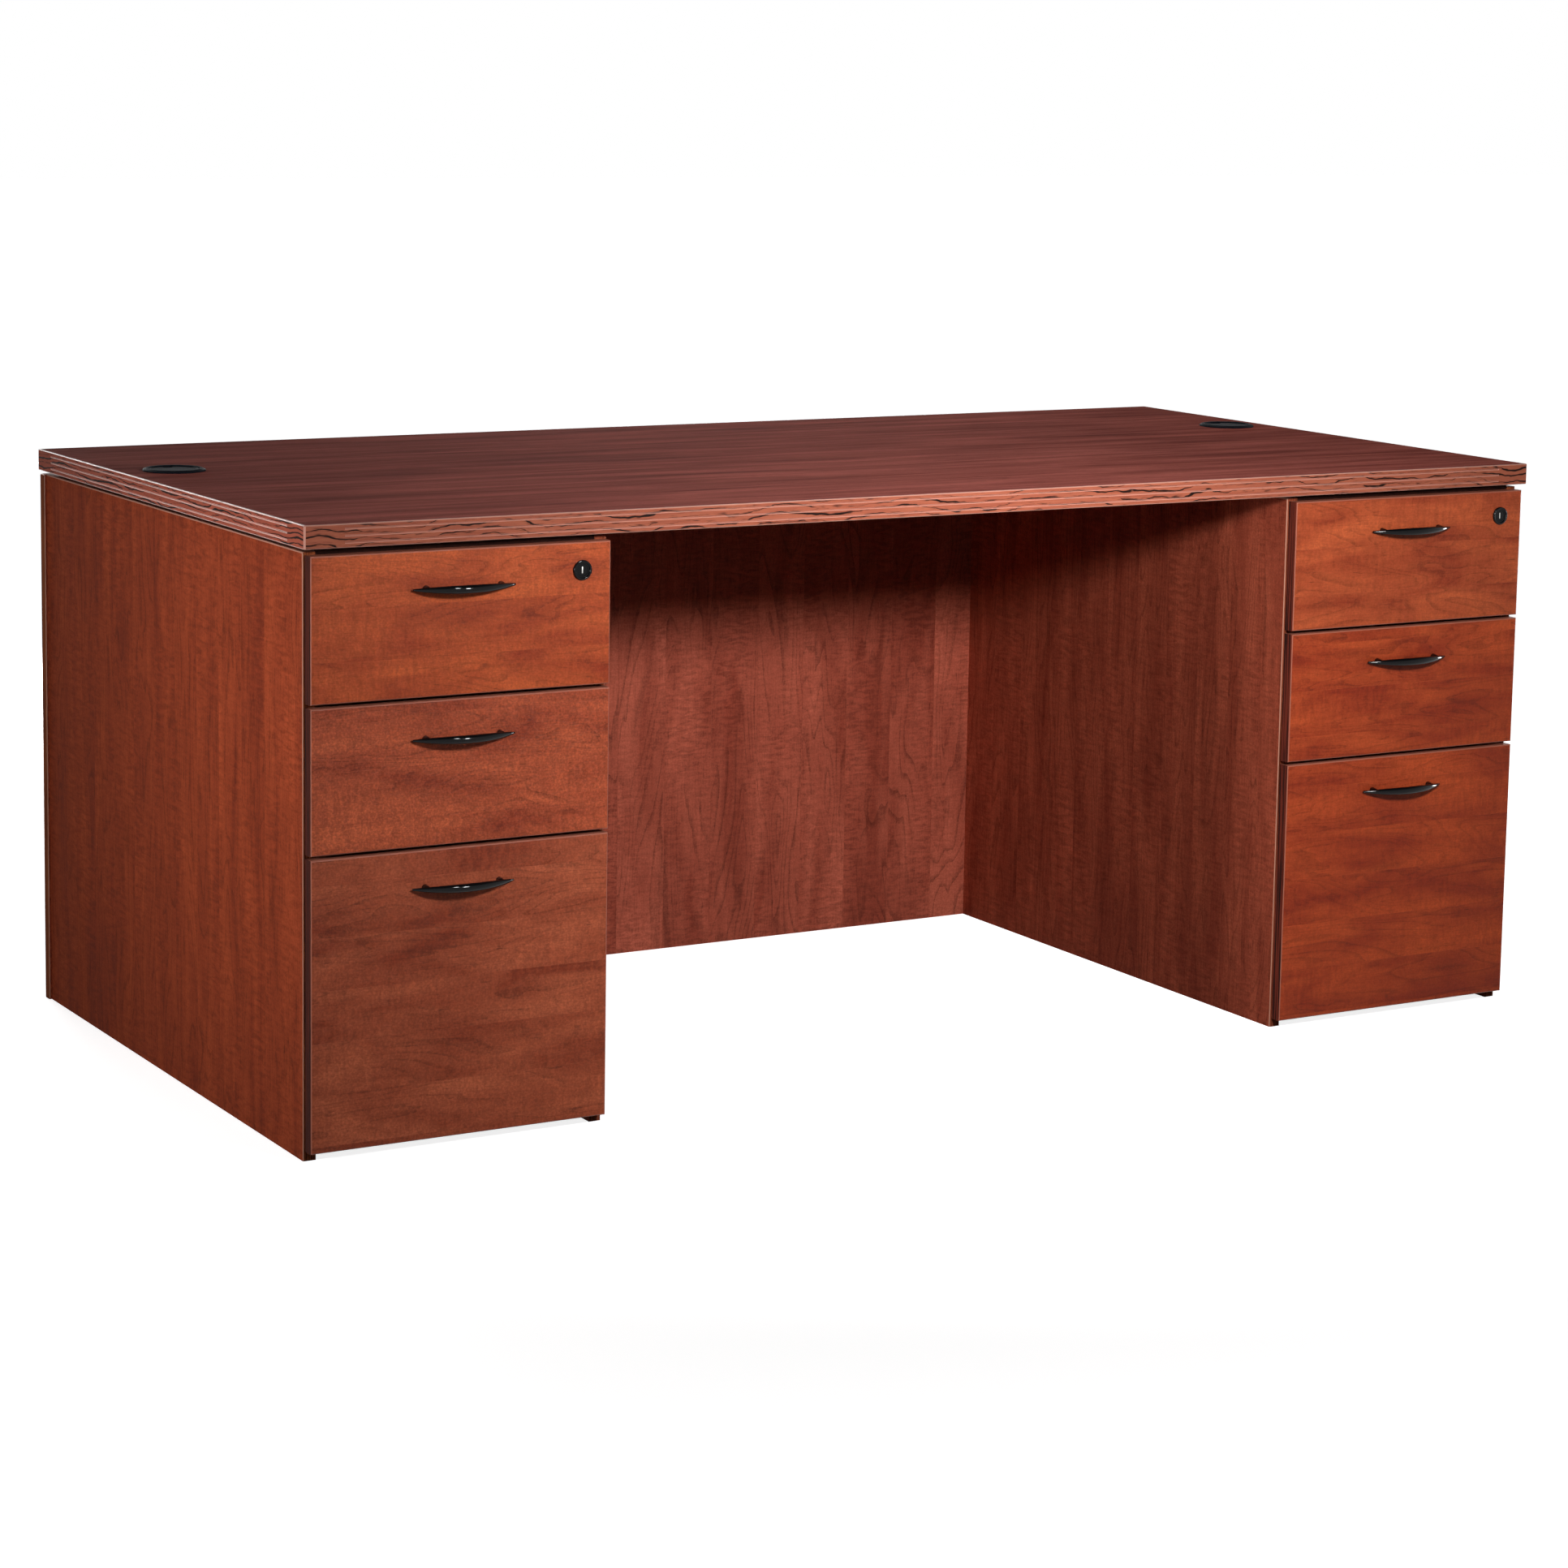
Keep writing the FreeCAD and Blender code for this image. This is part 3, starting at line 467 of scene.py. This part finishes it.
# key shutter: a nickel plate just inside each keyway, in mm
shutter = {"size": (2.0, 0.5, 8.0), "round": 0.2, "y": -438.2, "z": 679.5,
           "columns": {"left": -547.0, "right": 856.0}}
for side, x in shutter["columns"].items():
    mesh = bmesh.new()
    bmesh.ops.create_cube(mesh, size=1.0)
    bmesh.ops.scale(mesh, vec=shutter["size"], verts=mesh.verts)
    bmesh.ops.bevel(mesh, geom=mesh.edges[:], offset=shutter["round"], affect="EDGES", segments=2, profile=0.5,
                    material=-1)
    bmesh.ops.translate(mesh, vec=(x, shutter["y"], shutter["z"]), verts=mesh.verts)
    piece = newPiece(side + "_key_shutter", mesh, nickelMaterial, side + "_lock")

# pan-head screws, in mm: six in the runners of each drawer and four that hold its front
screw = {"radius": 3.6, "crown": 2.7, "height": 1.7, "round": 0.5, "rim": 1.5, "recess": 0.9, "sides": 12,
         "around": 5.0, "alongRunner": (-382.75, -177.75, 27.25), "runnerX": 167.5, "frontX": 118.0,
         "frontY": -409.75,
         "rows": {"upper": (610.85, (590.0, 645.0)), "middle": (434.4, (413.0, 468.0)),
                  "file": (81.5, (70.0, 250.0))}}


def addScrew(mesh, place, turn):
    head = Matrix.Translation(place) @ turn @ Matrix.Translation((0, 0, screw["height"] / 2))
    made = bmesh.ops.create_cone(mesh, segments=screw["sides"], radius1=screw["radius"], radius2=screw["crown"],
                                 depth=screw["height"], cap_ends=True, matrix=head)
    out = turn @ Vector((0, 0, 1))
    faces = {face for corner in made["verts"] for face in corner.link_faces}
    crown = max(faces, key=lambda face: face.calc_center_median().dot(out))
    bmesh.ops.bevel(mesh, geom=crown.edges[:], offset=screw["round"], affect="EDGES", segments=2, profile=0.5,
                    material=-1)
    faces = [face for face in mesh.faces if (face.calc_center_median() - Vector(place)).length < screw["around"]]
    crown = max(faces, key=lambda face: face.calc_center_median().dot(out))
    bmesh.ops.inset_individual(mesh, faces=[crown], thickness=screw["rim"] - screw["round"], depth=0)
    pushed = bmesh.ops.extrude_discrete_faces(mesh, faces=[crown])["faces"]
    bmesh.ops.translate(mesh, vec=-out * screw["recess"], verts=pushed[0].verts)


for side, x in columns.items():
    for row, (runnerZ, frontZs) in screw["rows"].items():
        mesh = bmesh.new()
        for way in (-1, 1):
            for y in screw["alongRunner"]:
                addScrew(mesh, (x + way * screw["runnerX"], y, runnerZ),
                         Matrix.Rotation(way * math.pi / 2, 4, "Y"))
            for z in frontZs:
                addScrew(mesh, (x + way * screw["frontX"], screw["frontY"], z),
                         Matrix.Rotation(-math.pi / 2, 4, "X"))
        piece = newPiece(side + "_" + row + "_screws", mesh, nickelMaterial, side + "_" + row + "_drawer")
print("fittings made")

# floor and world: the floor is dim to diffuse light and white to the eye, a little less so near the desk
stage = {"floorSize": 60.0, "floorShade": 0.15, "floorSeen": 0.8, "floorRough": 0.9, "ambient": 0.04,
         "near": {"From Min": 1.2, "From Max": 1.9, "To Min": 0.84, "To Max": 1.0},
         "ceiling": {"From Min": 0.3, "From Max": 0.75, "To Min": 1.0, "To Max": 0.12}}
floorMesh = bmesh.new()
bmesh.ops.create_grid(floorMesh, x_segments=1, y_segments=1, size=stage["floorSize"] / 2)
floorData = bpy.data.meshes.new("studioFloor")
floorMesh.to_mesh(floorData)
floorMesh.free()
floor = bpy.data.objects.new("studioFloor", floorData)
bpy.context.scene.collection.objects.link(floor)
material, tree, surface = newMaterial("paintedFloor")
path = addNode(tree, "LightPath")
seen = addNode(tree, "Math", {0: path.outputs["Is Camera Ray"], 1: path.outputs["Is Glossy Ray"]},
               operation="MAXIMUM")
seen = addNode(tree, "Math", {0: seen.outputs[0], 1: path.outputs["Is Transmission Ray"]}, operation="MAXIMUM")
shade = addNode(tree, "Mix", {0: seen.outputs[0], 6: (stage["floorShade"],) * 3 + (1,),
                              7: (stage["floorSeen"],) * 3 + (1,)}, data_type="RGBA")
place = addNode(tree, "TexCoord")
far = addNode(tree, "VectorMath", {0: place.outputs["Object"]}, operation="LENGTH")
paler = addNode(tree, "MapRange", {"Value": far.outputs["Value"], **stage["near"]})
glow = addNode(tree, "Math", {0: seen.outputs[0], 1: paler.outputs[0]}, operation="MULTIPLY")
tree.links.new(shade.outputs[2], surface.inputs["Base Color"])
tree.links.new(glow.outputs[0], surface.inputs["Emission Strength"])
surface.inputs["Emission Color"].default_value = (1, 1, 1, 1)
surface.inputs["Roughness"].default_value = stage["floorRough"]
surface.inputs["Specular IOR Level"].default_value = 0.0
floorData.materials.append(material)

world = bpy.data.worlds.new("studioWorld")
bpy.context.scene.world = world
world.use_nodes = True
tree = world.node_tree
path = addNode(tree, "LightPath")
mirrored = addNode(tree, "Math", {0: path.outputs["Is Glossy Ray"], 1: path.outputs["Is Transmission Ray"]},
                   operation="MAXIMUM")
# reflections see the white backdrop all round and a dim studio ceiling overhead
way = addNode(tree, "TexCoord")
height = addNode(tree, "SeparateXYZ", {"Vector": way.outputs["Generated"]})
ceiling = addNode(tree, "MapRange", {"Value": height.outputs["Z"], **stage["ceiling"]})
level = addNode(tree, "Mix", {0: mirrored.outputs[0], 2: stage["ambient"], 3: ceiling.outputs[0]})
level = addNode(tree, "Mix", {0: path.outputs["Is Camera Ray"], 2: level.outputs[0], 3: 1.0})
tree.links.new(level.outputs[0], tree.nodes["Background"].inputs["Strength"])
tree.nodes["Background"].inputs["Color"].default_value = (1, 1, 1, 1)

# lamps, in metres, degrees and watts; the soft boxes only give gloss its highlights
lamps = {
    "frontLamp": {"place": (-0.08, -2.14, 1.31), "aim": (0.16, 0.34, 0.58), "size": 0.26, "spread": 90,
                  "power": 12.5},
    "leftLamp": {"place": (-2.7, -0.62, 0.76), "aim": (-0.9, -0.3, 0.6), "size": 0.4, "spread": 70, "power": 4},
    "rearLamp": {"place": (-0.4, 3.4, 0.62), "aim": (0, 0.4, 0.4), "size": 0.9, "spread": 150, "power": 60},
    "rightLamp": {"place": (3.4, -0.2, 0.62), "aim": (0.9, 0, 0.4), "size": 0.9, "spread": 150, "power": 35},
    "topLamp": {"place": (1.5, 1.3, 2.1), "aim": (0.6, 0.3, 0.75), "size": 0.5, "spread": 80, "power": 1.2},
    "frontBox": {"place": (-0.3, -3.4, 2.9), "aim": (0, -0.44, 0.6), "size": 0.4, "spread": 120, "power": 26},
    "leftBox": {"place": (-3.6, -2.1, 0.9), "aim": (-0.6, -0.44, 0.6), "size": 0.5, "spread": 120, "power": 24},
    "rimBox": {"place": (-1.2, 4.2, 2.3), "aim": (-0.9, 0, 0.75), "size": 1.4, "spread": 120, "power": 30},
    "sheenBox": {"place": (2.3, 4.6, 1.35), "aim": (0.2, 0.2, 0.75), "size": 1.6, "spread": 120, "power": 14}}
for name, lamp in lamps.items():
    light = bpy.data.lights.new(name, "AREA")
    light.shape = "DISK"
    light.size = lamp["size"]
    light.spread = math.radians(lamp["spread"])
    light.energy = lamp["power"]
    item = bpy.data.objects.new(name, light)
    item.location = lamp["place"]
    ray = Vector(lamp["aim"]) - Vector(lamp["place"])
    item.rotation_euler = ray.to_track_quat("-Z", "Y").to_euler()
    item.visible_camera = False
    item.visible_diffuse = not name.endswith("Box")
    bpy.context.scene.collection.objects.link(item)

# camera: place in metres, angles in radians, focal length and shift in pixels of the photograph
view = {"place": (-2.6103, -4.4606, 1.2913), "yaw": 0.5268, "pitch": 0.1405, "roll": 0.0165, "focal": 4747.4,
        "shift": -232, "photo": 1932, "sensor": 36}
ahead = Vector((math.sin(view["yaw"]) * math.cos(view["pitch"]), math.cos(view["yaw"]) * math.cos(view["pitch"]),
                -math.sin(view["pitch"])))
right = Vector((math.cos(view["yaw"]), -math.sin(view["yaw"]), 0))
up = right.cross(ahead)
tiltedRight = right * math.cos(view["roll"]) + up * math.sin(view["roll"])
tiltedUp = up * math.cos(view["roll"]) - right * math.sin(view["roll"])
lens = bpy.data.cameras.new("photoCamera")
lens.sensor_width = view["sensor"]
lens.lens = view["focal"] / view["photo"] * view["sensor"]
lens.shift_y = view["shift"] / view["photo"]
camera = bpy.data.objects.new("photoCamera", lens)
turn = Matrix((tiltedRight, tiltedUp, -ahead)).transposed()
camera.matrix_world = Matrix.Translation(view["place"]) @ turn.to_4x4()
bpy.context.scene.collection.objects.link(camera)
bpy.context.scene.camera = camera
bpy.context.scene.view_settings.view_transform = "Standard"
print("stage and camera set")
